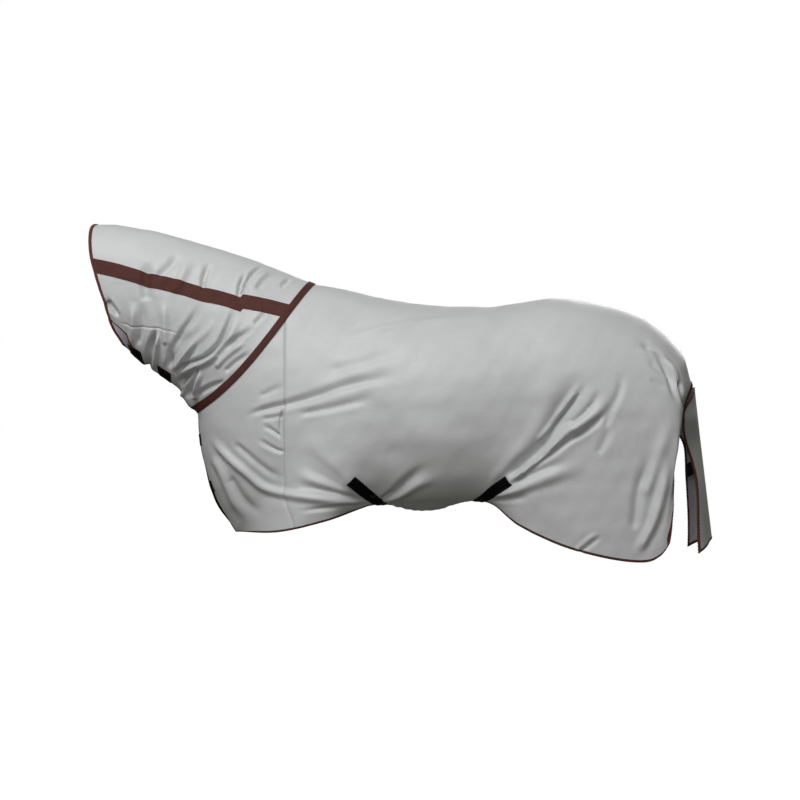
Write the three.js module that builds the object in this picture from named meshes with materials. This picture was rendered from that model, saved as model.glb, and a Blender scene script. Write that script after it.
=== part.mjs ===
// A full-neck fly sheet: a light cloth rug for a horse, shown in the shape it takes on the animal.
// Millimetres. +X to the tail, -Y to the near (left) side, +Z up. The origin is on the withers,
// where the neck cover is sewn to the body.
import * as THREE from 'three';

// Driving dimensions
const CLOTH = 2; // panel thickness
const TAPE = 2.6; // bindings
const WEBBING = 1.6; // bands and straps
const LAID = 0.6; // a piece laid on another stands off this much
const GAP = 0.8; // between two pieces that are sewn edge to edge
const LOWER_GAP = 2; // between a panel and the binding of its curved lower edge
const REAR_GAP = 4; // the rear edge bends most where it leaves the dock
const HEM_WIDTH = 11;
const REAR_EDGE_WIDTH = 13;
const NECK_SEAM_WIDTH = 19;
const POLL_EDGE_WIDTH = 13;
const SHOULDER_SEAM_X = -95;
const BAND_WIDTH = 50; // webbing along the neck
const BAND_FRONT_Z = 84; // its upper edge at the front of the neck cover
const BAND_FRONT_X = -755;
const BAND_SLOPE = -0.235;
const STRAP_WIDTH = 40;
const PATCH_LIFT = CLOTH + 0.7; // loop patches lie on the panels
const PATCH = 1.2;
const BELLY_PATCH_LIFT = CLOTH + 7; // on the hollow behind and in front of the belly
const BELLY_STRAP_LIFT = CLOTH + 7; // the belly straps lie where the cloth is hollow
const STRAP_LIFT = 5; // straps lie on the patches
const TAB_WIDTH = 50;
const TAIL_FLAP = {
  topX: 1307,
  topZ: -353,
  length: 521,
  sweep: 60, // the lower end stands this much further back
  topHalf: 48,
  lowHalf: 140,
  fold: 64, // the sides turn forward round the tail
  droop: 40,
};
const TAIL_YOKE = { at: 0.19, span: 0.11, forward: 34, out: 62 }; // where the flap meets the rear edges
const TAIL_STRAP_AT = 0.51; // share of the flap's length
const TAIL_STRAP_WIDTH = 40;
const BELLY_SAG = 30; // the belly flap hangs this much lower in the middle
const BELLY_FROM = 6.06; // stations of the belly flap
const BELLY_TO = 7.94;
const BELLY_LIFT = 13; // it fastens this far outside the off panel
const BELLY_START_Y = -114;
const FRONT_HALF = 6; // the two front edges end this far from the middle

// The covered shape, as sections from the top line (crest, then spine) down to the lower edge.
// top x, z, half width | low x, z, half width | widest half width, where, curl under | bow x, z, skew
const NECK = [
  [-762, 207, 0, -652, -215, 12, 112, 0.55, 80, -28, 0, 0], // poll
  [-640, 200, 0, -592, -268, 12, 125, 0.55, 80, -12, 0, 0],
  [-459, 159, 0, -508, -326, 12, 142, 0.54, 80, 2, -2, 0],
  [-230, 90, 0, -452, -372, 12, 168, 0.53, 80, 14, -16, 0.2],
  [0, 0, 0, -402, -440, 12, 195, 0.52, 80, 25, -25, 0.5], // base of the neck
];
const BODY = [
  NECK[4],
  [70, -12, 0, -388, -580, FRONT_HALF, 215, 0.5, 80, 24, -18, 0.3],
  [140, -26, 0, -340, -735, FRONT_HALF, 235, 0.47, 78, 20, -10, 0],
  [200, -40, 0, -272, -850, FRONT_HALF, 250, 0.45, 70, 15, 0, 0], // front corner of the hem
  [250, -51, 0, -110, -836, 215, 268, 0.44, 45, 5, 0, 0],
  [300, -60, 0, 60, -795, 235, 280, 0.46, 50, 0, 0, 0],
  [360, -68, 0, 205, -740, 132, 292, 0.5, 82, 0, 0, 0], // front of the belly flap
  [480, -76, 0, 395, -738, 130, 305, 0.52, 88, 0, 0, 0],
  [610, -76, 0, 583, -740, 132, 300, 0.5, 82, 0, 0, 0], // back of the belly flap
  [700, -64, 0, 690, -815, 235, 293, 0.45, 50, 0, 0, 0],
  [840, -48, 0, 830, -880, 260, 292, 0.42, 35, 0, 0, 0],
  [1000, -70, 0, 980, -920, 268, 293, 0.42, 30, 0, 0, 0],
  [1140, -120, 0, 1095, -932, 270, 286, 0.42, 30, 0, 0, 0],
  [1250, -222, 0, 1150, -912, 268, 276, 0.48, 30, 0, 0, 0],
  [1297, -345, 45, 1182, -872, 262, 262, 0.8, 30, -40, 0, -0.95], // rear edge
];
const POLL = 0;
const NECK_BASE = NECK.length - 1;
const CORNER = 3;
const LOW_COLUMNS = [3, 4, 5];
const BELLY_FRONT = 6;
const BELLY_REAR = 8;
const HIP = 10;
const REAR = BODY.length - 1;
const WIDEST_SHARE = 0.45; // share of a section's parameter above its widest point
const TOP_START = 0.001; // the two sides stop just short of the middle
const STEP = 1e-3; // parameter step for slopes
const SEAM_STATIONS = 0.004; // half the gap at a seam between two panels
const STRIP_STATIONS = 0.006; // gap between two strips of binding
const SHOULDER_TOP = 0.15; // the shoulder panel starts where it is this wide
const BAND_SEAM = [1.48, 1.52]; // the neck's two panels meet under the band
const BAND_DOWN = 0.3; // about where the band lies on a section
const THROAT_STOP = 0.06; // the throat binding stops short of the neck's seam

const { lerp, degToRad } = THREE.MathUtils;

/** One row of numbers between the stations, on a smooth curve that turns sharply only at the hem's corner. */
function section(rows, at) {
  const last = rows.length - 1;
  const first = Math.max(0, Math.min(Math.floor(at), last - 1));
  const t = at - first;
  const before = rows[Math.max(0, first - 1)];
  const after = rows[Math.min(last, first + 2)];
  const corner = rows === BODY ? CORNER : NaN;
  return rows[first].map((p, k) => {
    const q = rows[first + 1][k];
    const sharp = LOW_COLUMNS.includes(k);
    const leave = sharp && first === corner ? q - p : (q - before[k]) / 2;
    const arrive = sharp && first + 1 === corner ? q - p : (after[k] - p) / 2;
    return p + t * (leave + t * (3 * (q - p) - 2 * leave - arrive + t * (2 * (p - q) + leave + arrive)));
  });
}

/** A point of the covered shape: `down` runs from 0 on the top line to 1 on the lower edge. */
function skin(rows, at, down, side) {
  const row = section(rows, at);
  const [topX, topZ, topY, lowX, lowZ, lowY, widest, where, curlDegrees, bowX, bowZ, skew] = row;
  let share;
  let out;
  if (down < WIDEST_SHARE) {
    const angle = (down / WIDEST_SHARE) * (Math.PI / 2);
    share = where * (1 - Math.cos(angle));
    out = lerp(Math.max(0, topY), widest, Math.sin(angle));
  } else {
    const curl = degToRad(curlDegrees);
    const angle = (curl * (down - WIDEST_SHARE)) / (1 - WIDEST_SHARE);
    share = where + ((1 - where) * Math.sin(angle)) / Math.sin(curl);
    const inwards = (1 - Math.cos(angle)) / (1 - Math.cos(curl));
    out = lerp(widest, Math.max(FRONT_HALF, lowY), inwards);
  }
  const bow = 4 * share * (1 - share) * (1 + skew * (2 * share - 1));
  return new THREE.Vector3(
    lerp(topX, lowX, share) + bowX * bow,
    side * out,
    lerp(topZ, lowZ, share) + bowZ * bow,
  );
}

/** Parameter share that a width in millimetres takes at the lower edge of a section. */
function edgeShare(rows, at, width) {
  return (width * STEP) / skin(rows, at, 1, 1).distanceTo(skin(rows, at, 1 - STEP, 1));
}

/** The cloth inside its lower binding. */
function cloth(rows, at, down, side) {
  const trim = edgeShare(rows, at, HEM_WIDTH + LOWER_GAP);
  return skin(rows, at, lerp(TOP_START, 1 - trim, down), side);
}

/** Stations that a width takes along the body, at one end of the cloth. */
function endShare(rows, at, down, width) {
  const inwards = at > 0 ? -STEP : STEP;
  return (width * STEP) / cloth(rows, at, down, 1).distanceTo(cloth(rows, at + inwards, down, 1));
}

/** The station where the cloth passes a given x. */
function stationAtX(rows, down, x) {
  let low = 0;
  let high = REAR;
  for (let turn = 0; turn < 30; turn += 1) {
    const middle = (low + high) / 2;
    if (cloth(rows, middle, down, 1).x < x) {
      low = middle;
    } else {
      high = middle;
    }
  }
  return low;
}

/** Height share of the neck section where it meets the band's upper edge, lowered by `drop`. */
function bandShare(at, drop) {
  let low = 0;
  let high = 1;
  for (let turn = 0; turn < 30; turn += 1) {
    const middle = (low + high) / 2;
    const p = cloth(NECK, at, middle, 1);
    if (p.z > BAND_FRONT_Z - drop + BAND_SLOPE * (p.x - BAND_FRONT_X)) {
      low = middle;
    } else {
      high = middle;
    }
  }
  return low;
}

/** A closed shell over a surface, `thick` thick and standing `lift` off it, with faces outwards. */
function shell(surface, across, along, thick, lift = 0, side = -1) {
  const wide = across.length;
  const positions = [];
  const du = STEP * (across[wide - 1] - across[0]);
  const dv = STEP * (along[along.length - 1] - along[0]);
  for (const height of [lift + thick, lift]) {
    for (const v of along) {
      for (const u of across) {
        const slopeU = surface(u + du, v).sub(surface(u - du, v));
        const slopeV = surface(u, v + dv).sub(surface(u, v - dv));
        const normal = slopeU.cross(slopeV).normalize();
        positions.push(...surface(u, v).addScaledVector(normal, height * side).toArray());
      }
    }
  }
  const under = wide * along.length;
  const index = [];
  const quad = (a, b, c, d) => index.push(a, b, c, a, c, d);
  for (let j = 0; j < along.length - 1; j += 1) {
    for (let i = 0; i < wide - 1; i += 1) {
      const corner = j * wide + i;
      quad(corner, corner + wide, corner + wide + 1, corner + 1);
      quad(under + corner, under + corner + 1, under + corner + wide + 1, under + corner + wide);
    }
  }
  for (let i = 0; i < wide - 1; i += 1) {
    const foot = (along.length - 1) * wide + i;
    quad(i, i + 1, under + i + 1, under + i);
    quad(foot + 1, foot, under + foot, under + foot + 1);
  }
  for (let j = 0; j < along.length - 1; j += 1) {
    const left = j * wide;
    const right = left + wide - 1;
    quad(left + wide, left, under + left, under + left + wide);
    quad(right, right + wide, under + right + wide, under + right);
  }
  if (side > 0) {
    for (let k = 0; k < index.length; k += 3) {
      [index[k + 1], index[k + 2]] = [index[k + 2], index[k + 1]];
    }
  }
  const geometry = new THREE.BufferGeometry();
  geometry.setAttribute('position', new THREE.Float32BufferAttribute(positions, 3));
  geometry.setIndex(index);
  return geometry;
}

/** Evenly spaced numbers. */
function steps(from, to, count) {
  return Array.from({ length: count + 1 }, (_, k) => lerp(from, to, k / count));
}

// Materials
const silverCloth = { color: 0xc4c5c7, roughness: 0.55, metalness: 0 };
const brownTape = { color: 0x58342f, roughness: 0.8, metalness: 0 };
const blackWebbing = { color: 0x17161a, roughness: 0.75, metalness: 0 };

const BODY_ROWS = steps(0, 1, 16);

const sheet = new THREE.Group();

function add(name, geometry, finish) {
  const mesh = new THREE.Mesh(geometry, new THREE.MeshStandardMaterial(finish));
  mesh.name = name;
  sheet.add(mesh);
}

/** Neck cover of one side: panel, band, poll edge, throat edge and the seam to the body. */
function addNeck(label, side) {
  const inPanel = (u, v) => {
    const from = POLL + endShare(NECK, POLL, v, POLL_EDGE_WIDTH + GAP);
    const to = NECK_BASE - endShare(NECK, NECK_BASE, v, NECK_SEAM_WIDTH + 2 * GAP);
    return lerp(from, to, u);
  };
  // The rows follow the band: 1 is its upper edge, 2 its lower edge and 3 the throat.
  const banded = (u, row) => {
    const at = inPanel(u, BAND_DOWN);
    const upper = bandShare(at, 0);
    const lower = bandShare(at, BAND_WIDTH);
    const knots = [0, upper, lower, 1];
    const knot = Math.max(0, Math.min(2, Math.floor(row)));
    const down = lerp(knots[knot], knots[knot + 1], row - knot);
    return cloth(NECK, inPanel(u, down), down, side);
  };
  const columns = steps(0, 1, 12);
  const [crestEnd, throatStart] = BAND_SEAM;
  const crestRows = [...steps(0, 1, 5), crestEnd];
  const throatRows = [throatStart, ...steps(2, 3, 6)];
  add(`neck_crest_panel_${label}`, shell(banded, columns, crestRows, CLOTH, 0, side), silverCloth);
  add(`neck_throat_panel_${label}`, shell(banded, columns, throatRows, CLOTH, 0, side), silverCloth);
  const band = shell(banded, columns, [1, ...BAND_SEAM, 2], WEBBING, CLOTH + LAID, side);
  add(`neck_band_${label}`, band, brownTape);
  const down = steps(0, 1, 12);
  const poll = (u, v) => cloth(NECK, POLL + u * endShare(NECK, POLL, v, POLL_EDGE_WIDTH), v, side);
  add(`poll_binding_${label}`, shell(poll, [0, 1], down, TAPE, 0, side), brownTape);
  const seam = (u, v) => {
    const width = NECK_SEAM_WIDTH * (1 - u) + GAP;
    return cloth(NECK, NECK_BASE - endShare(NECK, NECK_BASE, v, width), v, side);
  };
  add(`neck_seam_binding_${label}`, shell(seam, [0, 1], down, TAPE, 0, side), brownTape);
  const throat = lowerEdge(NECK, side);
  const throatStations = steps(POLL, NECK_BASE - THROAT_STOP, 14);
  add(`throat_binding_${label}`, shell(throat, throatStations, [0, 1], TAPE, 0, side), brownTape);
}

/** The strip along the lower edge that the bindings fill. */
function lowerEdge(rows, side) {
  return (at, v) => skin(rows, at, 1 - (1 - v) * edgeShare(rows, at, HEM_WIDTH), side);
}

/** Body of one side: barrel, flank, quarter and shoulder panels and the bindings round them. */
function addBody(label, side) {
  const seamAt = (v) => stationAtX(BODY, v, SHOULDER_SEAM_X);
  const startAt = (v) => endShare(BODY, 0, v, GAP);
  const barrelStart = (v) => Math.max(startAt(v), seamAt(v) + SEAM_STATIONS);
  const quarterEnd = (v) => REAR - endShare(BODY, REAR, v, REAR_EDGE_WIDTH + REAR_GAP);
  const panels = [
    ['barrel_panel', barrelStart, () => BELLY_FRONT - SEAM_STATIONS, 13],
    ['flank_panel', () => BELLY_FRONT + SEAM_STATIONS, () => HIP - SEAM_STATIONS, 9],
    ['quarter_panel', () => HIP + SEAM_STATIONS, quarterEnd, 14],
  ];
  for (const [name, from, to, columns] of panels) {
    const panel = (u, v) => cloth(BODY, lerp(from(v), to(v), u), v, side);
    add(`${name}_${label}`, shell(panel, steps(0, 1, columns), BODY_ROWS, CLOTH, 0, side), silverCloth);
  }
  const shoulder = (u, v) => cloth(BODY, lerp(startAt(v), seamAt(v) - SEAM_STATIONS, u), v, side);
  const shoulderTop = BODY_ROWS.find((v) => seamAt(v) > SHOULDER_TOP);
  const shoulderRows = steps(shoulderTop, 1, 9);
  add(`shoulder_panel_${label}`, shell(shoulder, steps(0, 1, 8), shoulderRows, CLOTH, 0, side), silverCloth);
  const rear = (u, v) => {
    const width = REAR_EDGE_WIDTH * (1 - u);
    return cloth(BODY, REAR - endShare(BODY, REAR, v, width), v, side);
  };
  add(`rear_edge_binding_${label}`, shell(rear, [0, 1], BODY_ROWS, TAPE, 0, side), brownTape);
  const lower = lowerEdge(BODY, side);
  const strips = [
    ['chest_binding', STRIP_STATIONS, CORNER, 12, brownTape],
    ['hem_front', CORNER, BELLY_FRONT, 18, brownTape],
    ['belly_edge', BELLY_FRONT, BELLY_REAR, 8, side < 0 ? silverCloth : brownTape],
    ['hem_rear', BELLY_REAR, REAR + STRIP_STATIONS, 20, brownTape],
  ];
  for (const [name, from, to, count, finish] of strips) {
    const geometry = shell(lower, steps(from, to - STRIP_STATIONS, count), [0, 1], TAPE, 0, side);
    add(`${name}_${label}`, geometry, finish);
  }
}

for (const [label, side] of [['near', -1], ['off', 1]]) {
  addNeck(label, side);
  addBody(label, side);
}

// Tapes inside, under the seams of the crest and the back.
const TOP_TAPE_HALF = 10;
const TOP_TAPE_LIFT = -8;
function addTopTape(name, rows, stations) {
  const tape = (at, v) => skin(rows, at, 0, 1).setY(lerp(-TOP_TAPE_HALF, TOP_TAPE_HALF, v));
  add(name, shell(tape, stations, [0, 1], WEBBING, TOP_TAPE_LIFT, 1), blackWebbing);
}
addTopTape('crest_seam_tape', NECK, steps(0.1, NECK_BASE - 0.05, 12));
addTopTape('back_seam_tape', BODY, steps(0.05, REAR - 1.05, 26));

// Straps that cross from the near side to the off side, round the lower edge.
const EDGE_NODE = 0.008; // nearest share to the edge, either side of the middle
const PATCH_MARGIN = 4; // a loop patch is this much narrower than its strap
const PATCH_FROM = 0.45; // shares of the strap's off side that the patch lies under
const PATCH_TO = 0.95;
function crossing(rows, station, width) {
  const lengthPerStation = skin(rows, station + STEP, 1, 1).distanceTo(skin(rows, station, 1, 1)) / STEP;
  const half = width / 2 / lengthPerStation;
  return (u, turn) => {
    const at = lerp(station - half, station + half, u);
    return skin(rows, at, 1 - Math.abs(turn), Math.sign(turn));
  };
}

/** A strap sewn on the near side, which laps over a loop patch on the off side. */
function addCrossStrap(name, rows, station, width, nearShare, offShare, lift) {
  const turns = [...steps(-nearShare, -EDGE_NODE, 6), ...steps(EDGE_NODE, offShare, 6)];
  add(name, shell(crossing(rows, station, width), [0, 0.5, 1], turns, WEBBING, lift, -1), blackWebbing);
  const patch = crossing(rows, station, width - PATCH_MARGIN);
  const patchTurns = steps(offShare * PATCH_FROM, offShare * PATCH_TO, 4);
  const patchName = `${name.replace('_tab', '').replace('_strap', '')}_loop_off`;
  add(patchName, shell(patch, [0, 0.5, 1], patchTurns, PATCH, PATCH_LIFT, -1), blackWebbing);
}
addCrossStrap('throat_tab_front', NECK, 0.85, TAB_WIDTH, 0.19, 0.17, STRAP_LIFT);
addCrossStrap('throat_tab_rear', NECK, 1.95, TAB_WIDTH, 0.15, 0.17, STRAP_LIFT);
addCrossStrap('chest_strap_upper', BODY, 0.72, STRAP_WIDTH, 0.04, 0.16, STRAP_LIFT);
addCrossStrap('chest_strap_lower', BODY, 1.75, STRAP_WIDTH, 0.04, 0.16, STRAP_LIFT);

// Belly flap: sewn to the near edge, it passes under the belly and fastens outside the off panel.
const BELLY_TURN = 0.62; // share of the flap's width where it reaches the off edge
const BELLY_END = 0.13; // share of the off section that it covers
function bellyFlap(u, v) {
  const at = lerp(BELLY_FROM, BELLY_TO, u);
  const edge = skin(BODY, at, 1, 1);
  const base = edge.z - BELLY_LIFT;
  if (v < BELLY_TURN) {
    const y = lerp(BELLY_START_Y, edge.y, v / BELLY_TURN);
    return new THREE.Vector3(edge.x, y, base - BELLY_SAG * (1 - (y / edge.y) ** 2));
  }
  const down = 1 - (BELLY_END * (v - BELLY_TURN)) / (1 - BELLY_TURN);
  const p = skin(BODY, at, down, 1);
  const along = skin(BODY, at + STEP, down, 1).sub(p);
  const under = skin(BODY, at, down - STEP, 1).sub(p);
  return p.addScaledVector(under.cross(along).normalize(), BELLY_LIFT);
}
const BELLY_ROWS = [...steps(0, BELLY_TURN, 8), ...steps(BELLY_TURN + 0.05, 0.96, 4)];
const WEBBING_SHARE = 0.105; // of the flap's length, front and back
const SEWN_GAP = 0.004;
const HOOK_MARGIN = 0.01;
const HOOK_ROWS = steps(0.74, 0.94, 3); // shares of the flap's width
const LOOP_ROWS = steps(0.89, 0.955, 3); // shares of the off section
const flapColumns = steps(WEBBING_SHARE + SEWN_GAP, 1 - WEBBING_SHARE - SEWN_GAP, 10);
add('belly_flap', shell(bellyFlap, flapColumns, BELLY_ROWS, CLOTH), silverCloth);
add('belly_flap_end_binding', shell(bellyFlap, steps(0, 1, 14), [0.97, 1], TAPE), brownTape);
for (const [label, from] of [['front', 0], ['rear', 1 - WEBBING_SHARE]]) {
  const margin = steps(from, from + WEBBING_SHARE, 2);
  add(`belly_flap_${label}_webbing`, shell(bellyFlap, margin, BELLY_ROWS, CLOTH), blackWebbing);
  const pad = steps(from + HOOK_MARGIN, from + WEBBING_SHARE - HOOK_MARGIN, 2);
  add(`belly_hook_${label}`, shell(bellyFlap, pad, HOOK_ROWS, PATCH, -LAID - PATCH), blackWebbing);
  const patch = (u, v) => skin(BODY, lerp(BELLY_FROM, BELLY_TO, u), v, 1);
  add(`belly_loop_${label}_off`, shell(patch, pad, LOOP_ROWS, PATCH, BELLY_PATCH_LIFT, 1), blackWebbing);
}

/** The cloth of the near side at a given x and height. */
function nearAt(x, z) {
  let low = WIDEST_SHARE;
  let high = 1;
  for (let turn = 0; turn < 30; turn += 1) {
    const middle = (low + high) / 2;
    if (cloth(BODY, stationAtX(BODY, middle, x), middle, -1).z > z) {
      low = middle;
    } else {
      high = middle;
    }
  }
  return cloth(BODY, stationAtX(BODY, low, x), low, -1);
}

/** Webbing sewn on the near side, running down and in to the belly flap's corner. */
function addBellyStrap(label, top, foot) {
  const surface = (u, v) => nearAt(lerp(top.x, foot.x, v) + u * STRAP_WIDTH, lerp(top.z, foot.z, v));
  const strap = shell(surface, [-0.5, 0, 0.5], steps(0, 1, 6), WEBBING, BELLY_STRAP_LIFT);
  add(`belly_strap_${label}_near`, strap, blackWebbing);
}
addBellyStrap('front', { x: 132, z: -657 }, { x: 199, z: -727 });
addBellyStrap('rear', { x: 650, z: -664 }, { x: 576, z: -727 });

// Tail flap: hangs from the dock, its sides on the rear edges at the top and folded forward below.
function tailFlap(u, v) {
  const { topX, topZ, length, sweep, topHalf, lowHalf, fold, droop } = TAIL_FLAP;
  const side = Math.abs(u) ** 1.6;
  const yoke = Math.exp(-(((v - TAIL_YOKE.at) / TAIL_YOKE.span) ** 2));
  return new THREE.Vector3(
    topX + sweep * v - (fold * v ** 0.8 + TAIL_YOKE.forward * yoke) * side,
    u * (lerp(topHalf, lowHalf, Math.sqrt(v)) + TAIL_YOKE.out * yoke),
    topZ - length * v - droop * v * side,
  );
}
const TAIL_EDGE = 0.9; // share of the half width where the edge bindings start
const TAIL_LOW = 0.975;
const TAIL_ROWS = steps(0.002, TAIL_LOW - 0.006, 12);
const TAIL_COLUMNS = steps(-TAIL_EDGE + 0.01, TAIL_EDGE - 0.01, 12);
add('tail_flap', shell(tailFlap, TAIL_COLUMNS, TAIL_ROWS, CLOTH), silverCloth);
add('tail_flap_binding_near', shell(tailFlap, [-1, -TAIL_EDGE], TAIL_ROWS, TAPE), brownTape);
add('tail_flap_binding_off', shell(tailFlap, [TAIL_EDGE, 1], TAIL_ROWS, TAPE), brownTape);
add('tail_flap_hem', shell(tailFlap, steps(-1, 1, 14), [TAIL_LOW, 1], TAPE), brownTape);
const STRAP_END_GAP = 4;
function tailStrap(u, v) {
  const half = TAIL_STRAP_WIDTH / 2 / TAIL_FLAP.length;
  const end = tailFlap(1, lerp(TAIL_STRAP_AT - half, TAIL_STRAP_AT + half, v));
  return new THREE.Vector3(end.x - STRAP_END_GAP, u * end.y, end.z);
}
add('tail_strap', shell(tailStrap, steps(-1, 1, 6), [0, 1], WEBBING), blackWebbing);

export default sheet;
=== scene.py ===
import math

import bpy
import numpy as np
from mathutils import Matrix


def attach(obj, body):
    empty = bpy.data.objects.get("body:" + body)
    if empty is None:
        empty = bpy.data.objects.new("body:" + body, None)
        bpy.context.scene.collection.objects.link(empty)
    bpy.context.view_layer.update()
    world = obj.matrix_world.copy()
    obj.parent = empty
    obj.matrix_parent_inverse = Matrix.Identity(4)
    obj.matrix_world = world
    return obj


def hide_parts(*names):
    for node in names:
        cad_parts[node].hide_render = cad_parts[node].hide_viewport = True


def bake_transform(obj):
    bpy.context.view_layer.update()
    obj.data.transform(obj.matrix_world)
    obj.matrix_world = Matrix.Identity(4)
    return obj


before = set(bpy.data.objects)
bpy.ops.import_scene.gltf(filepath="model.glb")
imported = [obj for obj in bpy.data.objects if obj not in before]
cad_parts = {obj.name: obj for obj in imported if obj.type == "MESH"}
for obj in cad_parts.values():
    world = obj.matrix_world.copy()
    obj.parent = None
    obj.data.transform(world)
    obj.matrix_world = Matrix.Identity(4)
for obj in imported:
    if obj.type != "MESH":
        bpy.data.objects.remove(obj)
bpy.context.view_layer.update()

MM = 0.001

# ---------------------------------------------------------------------------------------------------
# The covered shape: the sections of the CAD model, in millimetres.
# top x, z, half width | low x, z, half width | widest half width, where, curl under | bow x, z, skew
NECK = np.array([
    [-762, 207, 0, -652, -215, 12, 112, 0.55, 80, -28, 0, 0],
    [-640, 200, 0, -592, -268, 12, 125, 0.55, 80, -12, 0, 0],
    [-459, 159, 0, -508, -326, 12, 142, 0.54, 80, 2, -2, 0],
    [-230, 90, 0, -452, -372, 12, 168, 0.53, 80, 14, -16, 0.2],
    [0, 0, 0, -402, -440, 12, 195, 0.52, 80, 25, -25, 0.5],
])
BODY = np.array([
    NECK[4],
    [70, -12, 0, -388, -580, 6, 215, 0.5, 80, 24, -18, 0.3],
    [140, -26, 0, -340, -735, 6, 235, 0.47, 78, 20, -10, 0],
    [200, -40, 0, -272, -850, 6, 250, 0.45, 70, 15, 0, 0],
    [250, -51, 0, -110, -836, 215, 268, 0.44, 45, 5, 0, 0],
    [300, -60, 0, 60, -795, 235, 280, 0.46, 50, 0, 0, 0],
    [360, -68, 0, 205, -750, 132, 292, 0.5, 82, 0, 0, 0],
    [480, -76, 0, 395, -738, 130, 305, 0.52, 88, 0, 0, 0],
    [610, -76, 0, 583, -740, 132, 300, 0.5, 82, 0, 0, 0],
    [700, -64, 0, 690, -815, 235, 293, 0.45, 50, 0, 0, 0],
    [840, -48, 0, 830, -880, 260, 292, 0.42, 35, 0, 0, 0],
    [1000, -70, 0, 980, -920, 268, 293, 0.42, 30, 0, 0, 0],
    [1140, -120, 0, 1095, -932, 270, 286, 0.42, 30, 0, 0, 0],
    [1250, -222, 0, 1150, -912, 268, 276, 0.48, 30, 0, 0, 0],
    [1297, -345, 0, 1182, -872, 262, 262, 0.8, 30, -40, 0, -0.95],
])
NECK_BASE = len(NECK) - 1
CORNER = 3  # station of the front corner of the hem
BELLY_FRONT = 6  # stations of the corners between which the belly flap hangs
BELLY_REAR = 8
REAR = len(BODY) - 1
FRONT_HALF = 6  # half of the gap between the two lower edges at the front
LOW_COLUMNS = slice(3, 6)  # x, z and half width of the lower edge
WIDEST_SHARE = 0.45  # share of the way down at which a section is widest
STEP = 1e-3  # step in stations or shares for slopes
TOP_SHARE = 0.0004  # the cloth starts this share below the top line, so that the two sides don't touch
CLOTH = 0.9  # cloth thickness, mm

# Folds of the body cloth: height (negative is a valley), half width at the start and at the end,
# and the line it runs along, as x and z in the side view.
BODY_FOLDS = [
    (-7, 9, 17, [(-215, -447), (-145, -425), (-80, -410), (10, -385), (110, -350), (200, -330), (310, -310)]),
    (-4, 9, 15, [(-45, -445), (55, -425), (140, -405), (225, -385)]),
    (-2.5, 14, 20, [(55, -300), (140, -280), (255, -250), (325, -235)]),
    (3, 12, 12, [(80, -195), (170, -175), (310, -145), (485, -125), (680, -95)]),
    (-2.5, 8, 12, [(-175, -385), (-130, -365), (-85, -345)]),
    (-5, 5, 6, [(-92, -425), (-104, -465), (-100, -520)]),
    (-4, 6, 8, [(-100, -520), (-145, -490), (-170, -485)]),
    (-3, 6, 8, [(-90, -445), (-125, -455), (-180, -460)]),
    (-4, 6, 9, [(-90, -570), (-125, -560), (-185, -525)]),
    (-4, 10, 12, [(-265, -540), (-210, -585), (-145, -635), (-80, -665)]),
    (7, 12, 14, [(-345, -530), (-285, -590), (-225, -640), (-170, -685), (-115, -705), (-5, -720),
                 (110, -735), (200, -742)]),
    (5, 13, 16, [(-345, -585), (-300, -665), (-265, -750), (-210, -825)]),
    (-4, 14, 16, [(-285, -655), (-245, -720), (-205, -760), (-160, -775)]),
    (-6, 7, 24, [(185, -735), (110, -690), (25, -640), (-60, -590)]),
    (-8, 7, 17, [(185, -740), (80, -705), (-5, -685), (-75, -665)]),
    (-3.5, 8, 22, [(150, -700), (80, -645), (10, -595), (-45, -560)]),
    (-3.5, 6, 8, [(195, -748), (110, -748), (25, -757), (-60, -767)]),
    (-6, 6, 20, [(222, -738), (270, -705), (315, -665), (395, -605)]),
    (-5, 6, 14, [(230, -745), (310, -730), (360, -705)]),
    (5, 8, 16, [(225, -742), (290, -716), (350, -680), (420, -650)]),
    (-14, 14, 46, [(595, -715), (680, -625), (755, -560), (800, -500), (830, -435), (870, -365),
                  (910, -300)]),
    (12, 8, 15, [(615, -715), (670, -655), (755, -590), (835, -505), (870, -485), (935, -440), (970, -400),
                 (995, -350)]),
    (6, 8, 10, [(740, -540), (790, -480), (825, -430), (870, -370), (900, -325)]),
    (-6, 5, 9, [(770, -520), (805, -475), (835, -440), (880, -380), (912, -328)]),
    (-6, 5, 8, [(850, -478), (895, -440), (930, -400), (957, -355)]),
    (-8, 6, 10, [(640, -690), (755, -600), (825, -545), (890, -505), (935, -470), (970, -430), (1002, -360)]),
    (-4, 9, 12, [(965, -490), (985, -435), (1015, -365), (1025, -300)]),
    (-3, 9, 14, [(940, -575), (970, -520), (985, -475)]),
    (-5, 6, 16, [(620, -700), (660, -672), (715, -647), (790, -615), (850, -600)]),
    (6, 7, 26, [(605, -722), (715, -680), (800, -645), (910, -600)]),
    (-4, 6, 14, [(598, -735), (645, -724), (720, -715)]),
    (4, 16, 20, [(1090, -720), (1130, -625), (1160, -535), (1190, -445)]),
    (7, 13, 17, [(1075, -900), (1105, -845), (1130, -790), (1160, -680), (1175, -560)]),
    (-5, 14, 18, [(1060, -830), (1075, -710), (1095, -640), (1110, -560)]),
    (-3.5, 6, 8, [(880, -905), (930, -865), (960, -840)]),
    (3, 5, 7, [(870, -895), (915, -855), (950, -832)]),
    (8, 10, 12, [(1115, -225), (1165, -265), (1200, -305), (1222, -355)]),
    (-8, 12, 9, [(1095, -205), (1150, -250), (1182, -310), (1195, -365), (1215, -420)]),
    (-13, 6, 6, [(1216, -338), (1222, -365), (1231, -395), (1243, -425)]),
    (-2.5, 9, 9, [(1120, -270), (1150, -300), (1185, -320)]),
    (-2, 9, 9, [(1120, -330), (1160, -350), (1190, -350)]),
    (-2, 30, 40, [(240, -560), (340, -600), (460, -640)]),
    (2.5, 40, 50, [(300, -480), (420, -520), (560, -560)]),
]
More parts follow.
